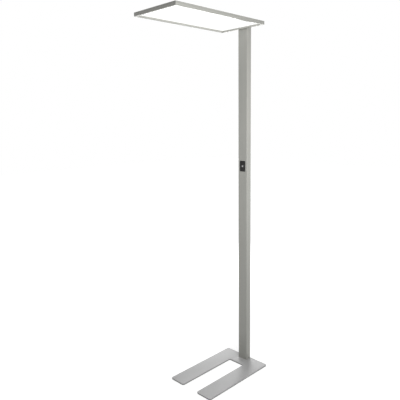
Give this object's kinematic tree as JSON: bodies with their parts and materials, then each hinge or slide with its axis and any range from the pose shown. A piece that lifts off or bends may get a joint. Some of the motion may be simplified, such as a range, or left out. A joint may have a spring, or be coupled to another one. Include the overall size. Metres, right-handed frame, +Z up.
{
  "type": "floor lamp",
  "caption": "Office floor lamp: flat rectangular light head on a slim upright column, U-shaped base plate, push-button control panel on the column.",
  "frame": {"origin": "on the floor, under the column's axis", "axes": "+Z up along the column; the head and the base's prongs reach out along -Y, which is the lamp's front; +X is on the right of someone who faces the front"},
  "size_m": [0.306, 0.662, 1.95],
  "materials": {
    "column_silver": "fine satin silver-grey coat",
    "head_silver": "satin anodised silver-grey",
    "base_silver": "fine textured silver-grey powder coat",
    "opal_diffuser": "opal white acrylic, lit from within",
    "clear_acrylic": "clear light guide with printed dots",
    "white_film": "matt white film",
    "black_plastic": "fine matt moulded black",
    "button_grey": "satin light grey",
    "zinc_steel": "zinc plated",
    "bracket_steel": "galvanised sheet",
    "black_rubber": "matt black",
    "grey_foam": "open-cell foam strip",
    "green_board": "circuit board with solder mask",
    "white_board": "white strip board",
    "driver_case": "plain extruded",
    "driver_caps": "white moulded",
    "lead_sheath": "light grey sheath"
  },
  "bodies": {
    "lamp": {"base_plate": "base_silver", "base_pads": "black_rubber", "foot_screws": "zinc_steel", "column_tube": "column_silver", "column_cap": "column_silver", "cable_inlet_bush": "black_rubber", "head_frame_front": "head_silver", "head_frame_rear": "head_silver", "head_frame_left": "head_silver", "head_frame_right": "head_silver", "corner_keys": "zinc_steel", "head_cover": "head_silver", "cover_screws": "zinc_steel", "diffuser": "opal_diffuser", "light_guide": "clear_acrylic", "reflector": "white_film", "led_strip_right": "white_board", "led_strip_left": "white_board", "pressure_pads": "grey_foam", "head_bracket": "bracket_steel", "bracket_plate_screws": "zinc_steel", "bracket_neck_screws": "zinc_steel", "bracket_nuts": "zinc_steel", "control_housing": "black_plastic", "button_spring": "zinc_steel", "control_board": "green_board", "key_switch": "black_plastic", "board_socket": "driver_caps", "board_screws": "zinc_steel", "driver_tray": "bracket_steel", "driver_case": "driver_case", "driver_end_caps": "driver_caps", "driver_tray_screws": "zinc_steel", "driver_lug_screws": "zinc_steel", "strip_lead_right": "lead_sheath", "strip_lead_left": "lead_sheath", "control_lead": "lead_sheath"},
    "button": {"control_button": "button_grey"}
  },
  "joints": [
    {"name": "button_press", "type": "slide", "parent": "lamp", "child": "button", "axis": [0, 1, 0], "range_m": [0, 0.0015], "stiffness_N_per_m": 1200, "springref_m": -0.001, "deforming": ["button_spring"]}
  ]
}
